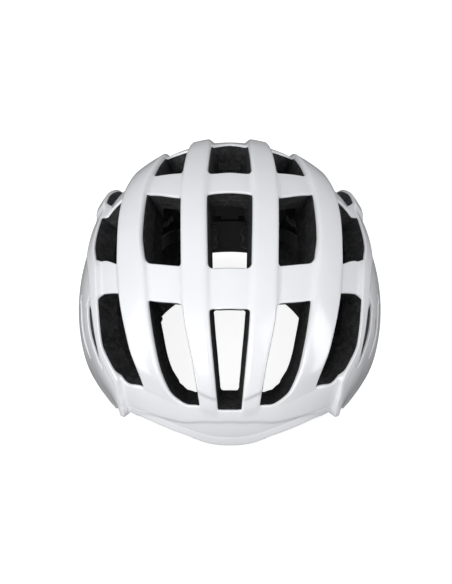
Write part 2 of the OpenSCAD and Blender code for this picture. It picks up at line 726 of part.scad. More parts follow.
outer_shell();
rim_shell();
eps_liner();
front_pad();
crown_pad(LEFT);  // crown_pad_left
crown_pad(RIGHT);  // crown_pad_right
side_pad(LEFT);  // side_pad_left
side_pad(RIGHT);  // side_pad_right
pad_fasteners();
temple_anchor(LEFT);  // temple_anchor_left
temple_anchor(RIGHT);  // temple_anchor_right
headband_arm(LEFT);  // headband_arm_left
headband_arm(RIGHT);  // headband_arm_right
rear_cradle();
height_ladder();
ladder_clip();
dial_housing();
housing_cover();
cover_screws();
ratchet_spring();
fit_dial();
dial_pinion();
dial_screw();
adjuster_belt(LEFT);  // adjuster_belt_left
adjuster_belt(RIGHT);  // adjuster_belt_right
cradle_pad(LEFT);  // cradle_pad_left
cradle_pad(RIGHT);  // cradle_pad_right
front_strap_anchors();
rear_strap_anchors();
front_strap(LEFT);  // front_strap_left
front_strap(RIGHT);  // front_strap_right
rear_strap(LEFT);  // rear_strap_left
rear_strap(RIGHT);  // rear_strap_right
divider(LEFT);  // divider_left
divider(RIGHT);  // divider_right
cam_lever(LEFT);  // cam_lever_left
cam_lever(RIGHT);  // cam_lever_right
chin_strap_left();
chin_strap_right();
strap_keeper();
chin_pad();
buckle_socket();
buckle_plug();
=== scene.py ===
import math

import bmesh
import bpy
import numpy as np
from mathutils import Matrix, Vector, kdtree


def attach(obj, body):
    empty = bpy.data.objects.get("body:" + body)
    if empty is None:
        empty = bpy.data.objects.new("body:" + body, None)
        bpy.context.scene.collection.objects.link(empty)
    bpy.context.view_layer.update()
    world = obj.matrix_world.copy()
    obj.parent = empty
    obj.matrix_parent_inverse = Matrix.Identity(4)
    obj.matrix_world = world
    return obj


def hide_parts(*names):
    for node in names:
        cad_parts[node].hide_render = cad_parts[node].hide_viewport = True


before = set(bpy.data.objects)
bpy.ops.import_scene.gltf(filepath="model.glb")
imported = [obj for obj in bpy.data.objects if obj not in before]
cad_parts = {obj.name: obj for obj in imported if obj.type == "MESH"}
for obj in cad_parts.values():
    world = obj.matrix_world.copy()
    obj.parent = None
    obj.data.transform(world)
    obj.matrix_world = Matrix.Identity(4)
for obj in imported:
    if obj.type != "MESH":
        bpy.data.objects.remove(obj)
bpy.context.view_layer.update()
MM = 0.001

# ---- Dome surface, in millimetres: the CAD's curves, smoothed, with two row lines moved a little ----
HALF_W, FRONT_LEN, REAR_LEN, DOME_H, WAIST_Z = 105, 137, 143, 106, 38
INNER_W, INNER_FRONT, INNER_REAR, INNER_H = 80, 104, 112, 78
SHELL_T, RIB_H, NAPE_Z, BRIDGE_SHARE, FOAM_LIP = 1.2, 3.2, 16, 0.45, 0.5
# Column lines: pairs of the angle over the dome from straight ahead, and the distance from the middle
EDGE_TABLES = [
    [(-13, 6), (3, 7), (37, 12), (51, 13), (78, 14), (110, 12), (165, 9), (205, 7)],
    [(-13, 16), (4, 20), (18, 24), (38, 31), (52, 32), (80, 33), (93, 32), (116, 29), (165, 21), (205, 16)],
    [(-13, 28), (3, 31), (8, 38), (17, 44), (39, 51), (55, 54), (67, 56.5), (88, 55), (100, 51), (120, 45),
     (166, 36), (205, 30)],
    [(-11, 53), (6, 57), (23, 65.6), (43, 72), (58, 74), (78, 74.5), (99, 72.5), (120, 66), (150, 55),
     (205, 44)],
    [(-16, 70), (3, 71), (19, 82), (43, 85), (66, 87), (81, 89), (100, 87), (125, 81), (150, 73), (205, 64)],
]
# Row lines: that angle at the middle and at the five column lines
ROWS = [
    (-13.3, -13.3, -12.6, -10.6, -10.1, -13.2), (3.2, 3.2, 4.2, 3.6, 6, 2.6),
    (36.6, 36.6, 38.2, 39.3, 42.7, 43.3), (50.7, 50.7, 52, 54.8, 58.3, 66),
    (78.6, 78.4, 79, 87.8, 99, 104), (89.5, 89.5, 93.3, 100, 112, 117),
    (116, 114, 116, 121, 140, 145), (127, 127, 129, 134, 153, 158), (176, 174, 170, 166, 172, 176),
]
LAST_ROW, SIDE, LAST_COLUMN = 9, 5, 6
RAD = math.pi / 180
SHARP_ANGLE = 40


def ramp(x, low, high):
    t = np.clip((np.asarray(x, float) - low) / (high - low), 0, 1)
    return t * t * (3 - 2 * t)


def smooth_table(points):
    """Smooth curve through (x, y) points that doesn't overshoot them."""
    x, y = np.array(points, float).T
    h = np.diff(x)
    slope = np.diff(y) / h
    both = slope[:-1] * slope[1:]
    total = np.where(both > 0, slope[:-1] + slope[1:], 1)
    tangent = np.concatenate([slope[:1], np.where(both > 0, 2 * both / total, 0), slope[-1:]])

    def at(q):
        q = np.clip(q, x[0], x[-1])
        i = np.clip(np.searchsorted(x, q) - 1, 0, len(h) - 1)
        t = (q - x[i]) / h[i]
        return ((1 + 2 * t) * (1 - t) ** 2 * y[i] + t * (1 - t) ** 2 * h[i] * tangent[i]
                + t * t * (3 - 2 * t) * y[i + 1] + t * t * (t - 1) * h[i] * tangent[i + 1])

    return at


EDGES = [smooth_table(t) for t in EDGE_TABLES]


def edge_x(k, angle):
    return np.zeros_like(angle) if k == 0 else EDGES[k - 1](angle)


def rear_rim_angle(x):
    z = NAPE_Z * (1 - ramp(abs(x), 15, 52))
    return 180 + np.arcsin((WAIST_Z - z) / DOME_H / np.sqrt(1 - (x / HALF_W) ** 2)) / RAD


KNOTS = np.array(ROWS + [[float(rear_rim_angle(edge_x(k, np.array(205.0)))) for k in range(6)]])


def unit(v):
    return v / np.linalg.norm(v, axis=-1, keepdims=True)


def chart_dir(x, angle):
    side = x / HALF_W
    around = np.sqrt(1 - side * side)
    return np.stack([side, -around * np.cos(angle * RAD), around * np.sin(angle * RAD)], -1)


def side_rim_dir(compass):
    z = 3 * (1 - ramp(compass, 52, 60)) + 9 * ramp(compass, 86, 97) * (1 - ramp(compass, 108, 120))
    up = (z - WAIST_Z) / DOME_H
    around = np.sqrt(1 - up * up)
    return np.stack([around * np.sin(compass * RAD), -around * np.cos(compass * RAD), up], -1)


def grid_dir(c, r):
    """Unit directions of grid places: c counts column lines from the middle, r row lines."""
    a, sign = np.abs(c), np.where(c < 0, -1.0, 1.0)
    rows = np.stack([np.interp(r, range(10), KNOTS[:, k]) for k in range(6)])
    k = np.clip(np.floor(a), 0, SIDE - 1).astype(int)
    t = np.minimum(a, SIDE) - k
    n = np.arange(len(a))
    a0, a1 = rows[k, n], rows[k + 1, n]
    before, after = rows[np.abs(k - 1), n], rows[np.minimum(k + 2, SIDE), n]
    angle = 0.5 * (2 * a0 + (a1 - before) * t + (2 * before - 5 * a0 + 4 * a1 - after) * t ** 2
                   + (3 * a0 - before - 3 * a1 + after) * t ** 3)
    x0, x1 = (np.choose(j, [edge_x(i, v) for i in range(6)]) for j, v in ((k, a0), (k + 1, a1)))
    direction = chart_dir(x0 * (1 - t) + x1 * t, angle)
    far = np.clip(a - SIDE, 0, 1)[:, None]
    compass = np.interp(rows[SIDE], [-16, 205], [52, 128])
    direction = unit(direction * (1 - far) + side_rim_dir(compass) * far)
    direction[:, 0] *= sign
    return direction


def on_axes(n, share):
    """Points along directions n, at a share of the way from the dome to the head surface."""
    front = n[:, 1] < 0
    axes = np.stack([
        HALF_W + (INNER_W - HALF_W) * share,
        np.where(front, FRONT_LEN + (INNER_FRONT - FRONT_LEN) * share,
                 REAR_LEN + (INNER_REAR - REAR_LEN) * share),
        DOME_H + (INNER_H - DOME_H) * share], -1)
    return n * axes + [0, 0, WAIST_Z]


def full_depth(n):
    return np.linalg.norm(on_axes(n, np.zeros(len(n))) - on_axes(n, np.ones(len(n))), axis=1)


# The side rib ends in a rounded finger below the rim
FINGER_COLUMN, FINGER_DROP = 5.0, 4.2


def dome_point(c, r, depth, lift=0.0):
    """Points at a depth below the bridge surface. The rim stays at its own height, raised by lift."""
    n = grid_dir(c, r)
    p = on_axes(n, depth / full_depth(n))
    rim = (r <= 0) | (r >= LAST_ROW) | (np.abs(c) >= LAST_COLUMN)
    p[rim, 2] = on_axes(n, np.zeros(len(n)))[rim, 2] + lift
    off = np.abs(c) - FINGER_COLUMN
    share = off / np.where(off < 0, 0.24, 0.055)
    p[:, 2] -= FINGER_DROP * np.sqrt(np.clip(1 - share ** 2, 0, 1)) * (1 - ramp(r, 0, 0.45))
    p[:, 2] = np.maximum(p[:, 2], 0)
    return p


def cell_width(c, r):
    """Millimetres for one step of c at each grid place."""
    step = 0.01
    flat = np.zeros_like(c)
    low, high = np.clip(np.abs(c) - step, 0, 5.999), np.clip(np.abs(c) + step, 0, 5.999)
    return np.linalg.norm(dome_point(high, r, flat) - dome_point(low, r, flat), axis=1) / (high - low)


# ---- Ribs, vents and channels ------------------------------------------------------------
SIDE_RIB = 0.16


def rib_lift(c, r):
    """How much of the rib height the surface has at each grid place."""
    a, width = np.abs(c), cell_width(c, r)

    def profile(low, high):
        inside = np.minimum(a - low, high - a) * width
        return ramp(inside, -1.0, 3.4)

    brow_step = 1.12 + 0.05 * (a - 1)
    centre_fade = 0.4 * ramp(r, 0.75, 1.1) + 0.6 * ramp(r, brow_step - 0.03, brow_step + 0.03)
    rear_fade = 1 - ramp(r, 8.2, 9)
    crown_step = 0.08 * ramp(r, 5.9, 6.15)
    shoulder = 1.6 * ramp(r, 4.5, 5.5) * (1 - ramp(r, 7, 8))
    centre = profile(1, 2) * centre_fade * (1 + crown_step) * rear_fade
    second = profile(3, 4) * ramp(r, 0.9, 1.4) * (1 + crown_step) * rear_fade
    side_edge = SIDE - 0.2 * (1 - ramp(r, 0, 0.95))
    side = ramp((a - side_edge) * width, -1.0, 1.6) * (1 - ramp((a - SIDE - SIDE_RIB) * width, -2.2, 0.8))
    side = side * rear_fade * (1 + shoulder)
    return np.maximum(np.maximum(centre, second), side)


def brow_curve(c):
    """Row of the soft crease that runs across the brow, down to the rim on each side."""
    return 0.68 - 0.5 * (np.abs(c) / 4.0) ** 2.2


def shell_depth(c, r):
    a = np.abs(c)
    tuck = 3.4 * ramp(a, 5.25, 5.8) * (1 - ramp(r, 1.0, 2.6)) * ramp(r, -0.2, 0.1)
    brow = 0.9 * (1 - ramp(r - brow_curve(c), -0.035, 0.06)) * (1 - ramp(a, 3.9, 4.3)) * ramp(r, 0, 0.3)
    return tuck + brow - RIB_H * rib_lift(c, r)


# Column and row limits of each vent, the radii of its corners (inner front, outer front, outer rear,
# inner rear), and how far its sides open beyond those lines (inner, outer, front, rear), in millimetres
VENTS = [
    (0, 1, 1, 2, (0, 1.2, 2.4, 0), (0, 0.9, 0.6, 1.3)),
    (0, 1, 3, 4, (0, 3, 3.5, 0), (0, 0.9, 0.6, 1.4)),
    (0, 1, 5, 6, (0, 1.6, 4, 0), (0, 0.9, 0.5, 0.5)),
    (0, 1, 7, 7.5, (0, 3, 3, 0), (0, 0.5, 0.5, 0.5)),
    (2, 3, 1, 2, (1, 7, 1.2, 3), (0.9, 1, 0.6, 1.5)),
    (2, 3, 3, 4, (2.2, 4.5, 1.4, 1.4), (0.9, 1.1, 0.6, 1.1)),
    (2, 3, 5, 6, (3, 1.5, 3, 1.6), (0.8, 0.8, 0.5, 0.5)),
    (2, 3, 7, 8, (3, 3, 3, 3), (0.5, 0.5, 0.5, 0.5)),
    (4, 5, 1, 2, (1, 11, 4.5, 2.4), (1.6, 1.6, 0.5, 1.8)),
    (4, 5, 3, 4, (2.6, 4, 2, 2), (1.2, 1.6, 0.5, 2)),
    (4, 5, 5, 6, (3, 3, 3, 3), (0.6, 1, 0.5, 0.5)),
    (4, 5, 7, 8, (3, 3, 3, 3), (0.5, 0.5, 0.5, 0.5)),
    (5.28, 5.49, 4.5, 6, (3, 3, 3, 3), (0, 0, 0, 0)),
    (5.28, 5.49, 6.5, 7.75, (3, 3, 3, 3), (0, 0, 0, 0)),
]
# Slots are leaf shapes in the shell alone: column limits, row limits, and columns at the two ends
SLOTS = [(5.22, 5.34, 1.30, 2.52, 5.283, 5.262), (5.415, 5.485, 1.8, 3.14, 5.56, 5.40)]


def within(c, r, holes):
    a = np.abs(c)
    return np.any([(a > h[0]) & (a < h[1]) & (r > h[2]) & (r < h[3]) for h in holes], axis=0)


def rib_share(c, r):
    a = np.abs(c)
    return (0.62 + 0.38 * ramp(r, 0.3, 1.6) - 0.3 * ramp(r, 6.4, 7.6) - 0.15 * ramp(a, 5.3, 6)
            - 0.17 * ramp(r, 0.9, 1.3) * (1 - ramp(r, 3.9, 4.6)) * (1 - ramp(a, 3.9, 4.3)))


def liner_depth(c, r):
    """The head side of the liner, with air channels under the bridges."""
    a, full = np.abs(c), rib_share(c, r)
    channel = ((1 - ramp(a, 0.8, 0.95)) + ramp(a, 2.05, 2.18) * (1 - ramp(a, 2.82, 2.95))
               + ramp(a, 4.08, 4.2) * (1 - ramp(a, 4.8, 4.92)))
    channel = channel * ramp(r, 0.96, 1.0) * (1 - ramp(r, 7.96, 8.06))
    thin = np.minimum(BRIDGE_SHARE + 0.1 * ramp(r, 6, 8), full)
    return (full * (1 - channel) + thin * channel) * full_depth(grid_dir(c, r))


def spacing(cc, rr, sc, sr, step=0.02):
    """Millimetres for one step of c and one step of r from a grid place, on the sides sc and sr."""
    p = dome_point(np.array([cc, cc + step * sc, cc]), np.array([rr, rr, rr + step * sr], float), np.zeros(3))
    return np.linalg.norm(p[1] - p[0]) / step, np.linalg.norm(p[2] - p[0]) / step


def round_corner(a, r, cc, rr, sc, sr, radius):
    """Moves grid places near one corner of a vent onto a round corner; sc and sr point into the vent."""
    (in_c, in_r), (out_c, out_r) = spacing(cc, rr, sc, sr), spacing(cc, rr, -sc, -sr)
    u, v = (a - cc) * sc, (r - rr) * sr
    u, v = u * np.where(u > 0, in_c, out_c), v * np.where(v > 0, in_r, out_r)
    near = (np.hypot(u, v) < 3 * radius) & ~((u > 0.01) & (v > 0.01))
    u, v = u[near], v[near]
    along = np.clip(np.maximum(u, v), 0, radius)
    turn = math.pi / 4 * (1 - along / radius)
    du, dv = radius * (1 - np.sin(turn)) - along, radius * (1 - np.cos(turn))
    flip = v > u
    du, dv = np.where(flip, dv, du), np.where(flip, du, dv)
    away = np.hypot(np.minimum(u, 0), np.minimum(v, 0))
    fade = (1 - ramp(away, 0, 2 * radius)) * (np.maximum(u, v) < radius)
    u, v = u + du * fade, v + dv * fade
    a[near] = cc + sc * u / np.where(u > 0, in_c, out_c)
    r[near] = rr + sr * v / np.where(v > 0, in_r, out_r)


REACH = 7.0


def push(value, edge, sign, per_in, per_out, size, far_edge, weight):
    """Moves places outwards past one side of a vent by size, less and less towards its far side
    and over the solid beyond it."""
    off = (value - edge) * sign
    inside = off < 0
    fade = np.where(inside, np.clip(1 + off / abs(edge - far_edge), 0, 1), 1 - ramp(off * per_out, 0, REACH))
    u = off * np.where(inside, per_in, per_out) + size * fade * weight
    return edge + sign * u / np.where(u < 0, per_in, per_out)


def opened(a, r, c0, c1, r0, r1, sizes):
    """Moves the sides of one vent outwards by their sizes in millimetres."""
    (c_front, r_inner), (c_rear, _) = spacing(c0, r0, 1, 1), spacing(c0, r1, 1, -1)
    r_outer = spacing(c1, r0, -1, 1)[1]
    (inner_out, front_out), (outer_out, rear_out) = spacing(c0, r0, -1, -1), spacing(c1, r1, 1, 1)
    per_c = np.interp(r, [r0, r1], [c_front, c_rear])
    per_r = np.interp(a, [c0, c1], [r_inner, r_outer])
    beyond_c = np.maximum((c0 - a) * inner_out, (a - c1) * outer_out)
    beyond_r = np.maximum((r0 - r) * front_out, (r - r1) * rear_out)
    by_row, by_column = 1 - ramp(beyond_r, 0, REACH), 1 - ramp(beyond_c, 0, REACH)
    a = push(a, c0, -1, per_c, inner_out, sizes[0], c1, by_row)
    a = push(a, c1, 1, per_c, outer_out, sizes[1], c0, by_row)
    r = push(r, r0, -1, per_r, front_out, sizes[2], r1, by_column)
    r = push(r, r1, 1, per_r, rear_out, sizes[3], r0, by_column)
    return a, r


def warped(c, r):
    """Rounds the corners of the vents, opens their sides and shapes the slots into leaves."""
    a, sign = np.abs(c), np.where(c < 0, -1.0, 1.0)
    first, r = a, r.astype(float).copy()
    a = a.copy()
    for c0, c1, r0, r1, radii, _ in VENTS:
        corners = ((c0, r0, 1, 1), (c1, r0, -1, 1), (c1, r1, -1, -1), (c0, r1, 1, -1))
        for radius, corner in zip(radii, corners):
            if radius:
                round_corner(a, r, *corner, radius)
    for c0, c1, r0, r1, _, sizes in VENTS:
        if any(sizes):
            a, r = opened(a, r, c0, c1, r0, r1, sizes)
    a[first == 0] = 0
    for c0, c1, r0, r1, low_end, high_end in SLOTS:
        middle, half = (c0 + c1) / 2, (c1 - c0) / 2
        t = (r - (r0 + r1) / 2) / ((r1 - r0) / 2)
        inside = np.clip(1 - np.abs(t), 0, 1) > 0
        width = np.clip(1 - np.abs(t) ** 1.8, 0, 1) ** 0.8
        off = a - middle
        path = np.interp(t, [-1, 1], [low_end, high_end]) - middle
        lean = path * (1 - ramp(np.abs(off), 1.2 * half, 1.2 * half + 0.09)) * (1 - ramp(np.abs(t), 1, 1.5))
        pinch = np.where(inside, -np.sign(off) * np.minimum(np.abs(off), half) * (1 - width)
                         * (1 - ramp(np.abs(off), half, 3 * half)), 0)
        a = a + lean + pinch
    return a * sign, r


# ---- Grids ------------------------------------------------------------------------------
def grid_lines(stops, counts, borders):
    """Lines between stops, counts to each gap, with close ones where borders (line, side, offsets) say."""
    runs = [np.linspace(a, b, n + 1) for a, b, n in zip(stops, stops[1:], counts)]
    lines = {round(float(v), 5) for v in np.concatenate(runs)}
    for line, side, offsets in borders:
        wanted = [round(line + side * o, 5) for o in offsets]
        reach = max(offsets)
        lines = {v for v in lines if v == line or not 0 < (v - line) * side <= reach * 1.25}
        lines.update(wanted)
    return np.array(sorted(lines))


def mirrored(half):
    return np.concatenate([-half[:0:-1], half])


# Distances of the close lines from a border, in millimetres, then the borders: line, side to put the
# close lines on, and millimetres for one step there
FINE = (0.15, 0.45, 1.0)
COLUMN_BORDERS = [(1, 1, 17), (2, -1, 17), (3, 1, 18), (4, -1, 18), (5, 1, 95), (6, -1, 95),
                  (5.22, -1, 95), (5.34, 1, 95), (5.415, -1, 95), (5.485, 1, 95)]
ROW_BORDERS = [(0, 1, 39), (1, -1, 39), (2, 1, 33), (3, -1, 33), (4, 1, 22), (5, -1, 22), (6, 1, 24),
               (7, -1, 24), (7.5, 1, 44), (8, 1, 55), (9, -1, 55)]
SEAM_ROWS, SEAM_COLUMN, SEAM_ROLL = (0.25, 8.7), 5.9, 0.14


def beside(table, offsets):
    """Steps of c or r that put close lines at offsets in millimetres beside the borders of a table."""
    return [(line, side, [o / per for o in offsets]) for line, side, per in table]


def shell_lines():
    inner = [(1, -1, 13), (2, 1, 20), (3, -1, 20), (4, 1, 16), (5, -1, 16)]
    inner_rows = [(1, 1, 80), (2, -1, 80), (3, 1, 60), (4, -1, 60), (5, 1, 55), (6, -1, 55),
                  (7, 1, 110), (7.5, -1, 110), (8, -1, 110)]
    columns = grid_lines(
        [0, 1, 2, 3, 4, 5, 5.22, 5.34, 5.415, 5.485, 5.9, 6], [7, 11, 11, 11, 14, 20, 8, 8, 6, 20, 5],
        beside(COLUMN_BORDERS, FINE) + beside(inner, (0.8, 1.8)))
    rows = grid_lines(
        [0, 0.25, 1, 1.3, 1.8, 2, 2.52, 3, 3.14, 4, 5, 6, 7, 7.5, 8, 8.7, 9],
        [7, 20, 15, 20, 4, 8, 8, 6, 26, 11, 28, 13, 22, 22, 18, 8],
        beside(ROW_BORDERS, FINE) + beside(inner_rows, (0.8, 1.8)))
    return mirrored(columns), rows


def new_mesh(name, points, faces, scale=MM):
    mesh = bpy.data.meshes.new(name)
    mesh.from_pydata((np.asarray(points) * scale).tolist(), [], [list(map(int, f)) for f in faces])
    mesh.validate()
    mesh.update()
    obj = bpy.data.objects.new(name, mesh)
    bpy.context.scene.collection.objects.link(obj)
    return obj


def smooth(obj, angle=SHARP_ANGLE):
    obj.data.shade_smooth()
    obj.data.set_sharp_from_angle(angle=angle * RAD)
    return obj


def skin(name, columns, rows, outer, inner, keep, lift=0.0, roll=0.0, grow=0.0, wall=(), shape=warped,
         lean=None):
    """Closed solid between two depths over the grid cells that keep() accepts. Its outer edges are rolled
    by a radius, its walls are moved out by grow, and wall lists (share, bulge) of extra loops down them."""
    nc, nr = len(columns), len(rows)
    middle_c, middle_r = (columns[1:] + columns[:-1]) / 2, (rows[1:] + rows[:-1]) / 2
    held = keep(np.tile(middle_c, nr - 1), np.repeat(middle_r, nc - 1)).reshape(nr - 1, nc - 1)
    line_c, line_r = np.tile(columns, nr), np.repeat(rows, nc)
    c, r = shape(line_c, line_r)
    outermost = np.abs(line_c) >= LAST_COLUMN
    rim = (line_r <= 0) | (line_r >= LAST_ROW) | outermost
    c[outermost] = np.sign(c[outermost]) * LAST_COLUMN
    top_depth, low_depth = outer(c, r), inner(c, r)
    j, i = np.nonzero(held)
    quads = np.stack([j * nc + i, j * nc + i + 1, (j + 1) * nc + i + 1, (j + 1) * nc + i], 1)
    padded = np.pad(held, 1)
    walls = []
    for dj, di, a, b in ((-1, 0, 0, 1), (0, 1, 1, 2), (1, 0, 2, 3), (0, -1, 3, 0)):
        open_side = ~padded[1 + dj:nr + dj, 1 + di:nc + di][j, i]
        walls.append(quads[open_side][:, [a, b]])
    walls = np.concatenate(walls)
    border, used = np.unique(walls), np.unique(quads)
    places = dome_point(c, r, top_depth, lift)
    if roll:
        lines_c, lines_r = np.abs(line_c)[border], line_r[border]
        seam = ((np.abs(lines_c - SEAM_COLUMN) < 1e-4) | (np.abs(lines_r - SEAM_ROWS[0]) < 1e-4)
                | (np.abs(lines_r - SEAM_ROWS[1]) < 1e-4))
        for group, radius in ((border[~seam], roll), (border[seam], SEAM_ROLL)):
            tree = kdtree.KDTree(len(group))
            for n, v in enumerate(group):
                tree.insert(places[v], n)
            tree.balance()
            for v in used:
                d = tree.find(places[v])[2]
                if d < radius:
                    top_depth[v] += radius - math.sqrt(max(radius * radius - (radius - d) ** 2, 0))
        places = dome_point(c, r, top_depth, lift)
    out = np.zeros((len(places), 3))
    if grow:
        centre = places[quads].mean(1)
        for corner in range(4):
            np.add.at(out, quads[:, corner], places[quads[:, corner]] - centre)
        length = np.linalg.norm(out, axis=1, keepdims=True)
        out = np.where(length > 1e-6, out / np.maximum(length, 1e-6), 0)
    layers = [(0.0, 0.0)] + list(wall) + [(1.0, 0.0)]
    index = -np.ones((len(layers), len(places)), int)
    points = []
    total = 0
    for n, (share, bulge) in enumerate(layers):
        chosen = used if share in (0.0, 1.0) else border
        at_c, at_r = c[chosen], r[chosen]
        if lean:
            lean_c, lean_r = lean(at_c, at_r)
            at_c, at_r = at_c + share * lean_c, at_r + share * lean_r
        p = dome_point(at_c, at_r, top_depth[chosen] * (1 - share) + low_depth[chosen] * share, lift)
        on_wall = np.isin(chosen, border) & ~rim[chosen]
        p = p + out[chosen] * np.where(on_wall, grow + bulge, 0)[:, None]
        index[n, chosen] = total + np.arange(len(chosen))
        total += len(chosen)
        points.append(p)
    faces = [index[0, quads], index[-1, quads[:, ::-1]]]
    for n in range(len(layers) - 1):
        a, b = index[n, walls[:, 0]], index[n, walls[:, 1]]
        faces.append(np.stack([b, a, index[n + 1, walls[:, 0]], index[n + 1, walls[:, 1]]], 1))
    return new_mesh(name, np.concatenate(points), np.concatenate(faces))


def in_rim(c, r):
    return (r < SEAM_ROWS[0]) | (r > SEAM_ROWS[1]) | (np.abs(c) > SEAM_COLUMN)


HOLES = [v[:4] for v in VENTS]
SHELL_COLUMNS, SHELL_ROWS = shell_lines()


def shell_piece(name, keep):
    return skin(name, SHELL_COLUMNS, SHELL_ROWS, shell_depth, lambda c, r: shell_depth(c, r) + SHELL_T + 0.35,
                keep, FOAM_LIP, roll=0.95)


shell = shell_piece("shell_main", lambda c, r: ~in_rim(c, r) & ~within(c, r, HOLES) & ~within(c, r, SLOTS))
rim = shell_piece("shell_rim", in_rim)


def wall_lean(c, r):
    """How far the outer and front walls of the front vents lean outwards on their way in."""
    a = np.abs(c)
    outer = 0.34 * ramp(a, 2.4, 3) * (1 - ramp(a, 3, 3.85)) * ramp(r, 0.8, 1.05) * (1 - ramp(r, 2.05, 2.6))
    front = -0.2 * ramp(r, 0.35, 0.95) * (1 - ramp(r, 1, 1.5)) * ramp(a, 1.7, 2) * (1 - ramp(a, 3.2, 3.7))
    return np.sign(c) * outer, front


liner_columns = mirrored(grid_lines(
    [0, 0.8, 1, 2, 2.05, 2.95, 3, 4, 4.08, 4.92, 5, 5.28, 5.49, 6], [5, 3, 6, 1, 8, 1, 6, 1, 8, 1, 9, 6, 14],
    beside(COLUMN_BORDERS[:6], (0.4, 1.2))))
liner_rows = grid_lines(
    [0, 1, 2, 3, 4, 4.5, 5, 6, 6.5, 7, 7.5, 7.75, 8, 9], [14, 26, 10, 20, 4, 4, 18, 4, 4, 16, 6, 6, 14],
    beside(ROW_BORDERS, (0.4, 1.2)))
liner = skin("foam_liner", liner_columns, liner_rows,
             lambda c, r: shell_depth(c, r) + SHELL_T + 0.3, liner_depth,
             lambda c, r: ~within(c, r, HOLES), grow=0.35,
             wall=((0.04, 0), (0.2, 0), (0.5, 0), (0.52, 0.25), (0.54, 0), (0.8, 0), (0.95, 0)),
             lean=wall_lean)


# ---- Comfort pads -----------------------------------------------------------------------
SIDES = (("left", 1), ("right", -1))
PAD_T, PAD_GAP = 6.0, 1.8
CRADLE_Z, CRADLE_Y, CRADLE_IN_R = 42.0, 33.9, 58.5


def face_outwards(obj):
    """Turns the faces of a closed mesh to point out of it."""
    shape = bmesh.new()
    shape.from_mesh(obj.data)
    bmesh.ops.recalc_face_normals(shape, faces=shape.faces)
    shape.to_mesh(obj.data)
    shape.free()
    return obj


def closed_grid(name, low, high):
    """Closed solid between two grids of points of the same shape (rows, columns, 3)."""
    rows, columns = low.shape[:2]
    index = np.arange(rows * columns).reshape(rows, columns)
    a, b, c, d = index[:-1, :-1], index[:-1, 1:], index[1:, 1:], index[1:, :-1]
    sheet = np.stack([a, b, c, d], -1).reshape(-1, 4)
    ring = np.concatenate([index[0, :-1], index[:-1, -1], index[-1, :0:-1], index[:0:-1, 0]])
    ahead, count = np.roll(ring, -1), rows * columns
    walls = np.stack([ring, ahead, ahead + count, ring + count], 1)
    obj = new_mesh(name, np.concatenate([low.reshape(-1, 3), high.reshape(-1, 3)]),
                   np.concatenate([sheet, sheet[:, ::-1] + count, walls]))
    return face_outwards(obj)


def from_start(points, axis):
    """Distance along the grid from its first edge on one axis."""
    run = np.linalg.norm(np.diff(points, axis=axis), axis=-1)
    return np.cumsum(np.insert(run, 0, 0, axis=axis), axis=axis)


def to_edges(points, axis):
    """Distance along the grid to the nearer of its two edges on one axis."""
    start = from_start(points, axis)
    return np.minimum(start, np.take(start, [-1], axis=axis) - start)


def cushion(name, place, columns, rows, height, lengthwise, grooves=(), flange=1.7, crown=5.5):
    """Crowned pad on a welded flange. place(s, t, h) gives points for s and t from -1 to 1 at height h,
    lengthwise says which of s and t runs along it, and grooves are the sewn channels across it."""
    s, t = np.meshgrid(np.linspace(-1, 1, columns), np.linspace(-1, 1, rows))
    along, across = (t, s) if lengthwise == "t" else (s, t)
    across = across * (0.35 + 0.65 * np.sqrt(1 - np.abs(along) ** 10))
    s_at, t_at = (across, along) if lengthwise == "t" else (along, across)
    base = place(s_at, t_at, np.zeros_like(s))
    edge = np.minimum(to_edges(base, 0), to_edges(base, 1))
    rise = np.clip((edge - flange) / crown, 0, 1)
    h = 0.18 * height + 0.7 * height * np.sqrt(1 - (1 - rise) ** 2) + 0.1 * height * ramp(edge, 3, 12)
    h -= 0.05 * height * np.exp(-((edge - flange) / 0.45) ** 2)
    axis = 0 if lengthwise == "t" else 1
    length = from_start(base, axis)
    for groove in grooves:
        share = length / np.take(length, [-1], axis=axis)
        off = np.abs(share - groove) * length.max()
        h -= (h - 0.42 * height) * np.exp(-(off / 1.5) ** 2) * ramp(rise, 0, 0.5)
    ripple = 0.06 * np.sin(length * 1.9) * ramp(rise, 0.05, 0.3) * (1 - ramp(rise, 0.5, 1))
    return smooth(closed_grid(name, base, place(s_at, t_at, h + ripple)), 60)


def on_dome(c0, c1, r0, r1):
    def place(s, t, h):
        c = (c0 + c1) / 2 + s * (c1 - c0) / 2
        r = (r0 + r1) / 2 + t * (r1 - r0) / 2
        flat_c, flat_r = c.ravel(), r.ravel()
        depth = rib_share(flat_c, flat_r) * full_depth(grid_dir(flat_c, flat_r)) + PAD_GAP + h.ravel()
        return dome_point(flat_c, flat_r, depth).reshape(*s.shape, 3)
    return place


def on_cradle(middle):
    def place(s, t, h):
        angle, radius = (middle + 9.8 * s) * RAD, CRADLE_IN_R - 0.35 - h
        return np.stack([radius * np.cos(angle), CRADLE_Y + radius * np.sin(angle), CRADLE_Z + 9.8 * t], -1)
    return place


def under_chin(s, t, h):
    x, y, turn = 7.4 * s, 6.4 * t, -27 * RAD
    return np.stack([-53 + x * math.cos(turn) - y * math.sin(turn),
                     56.5 + x * math.sin(turn) + y * math.cos(turn), 2.25 + h], -1)


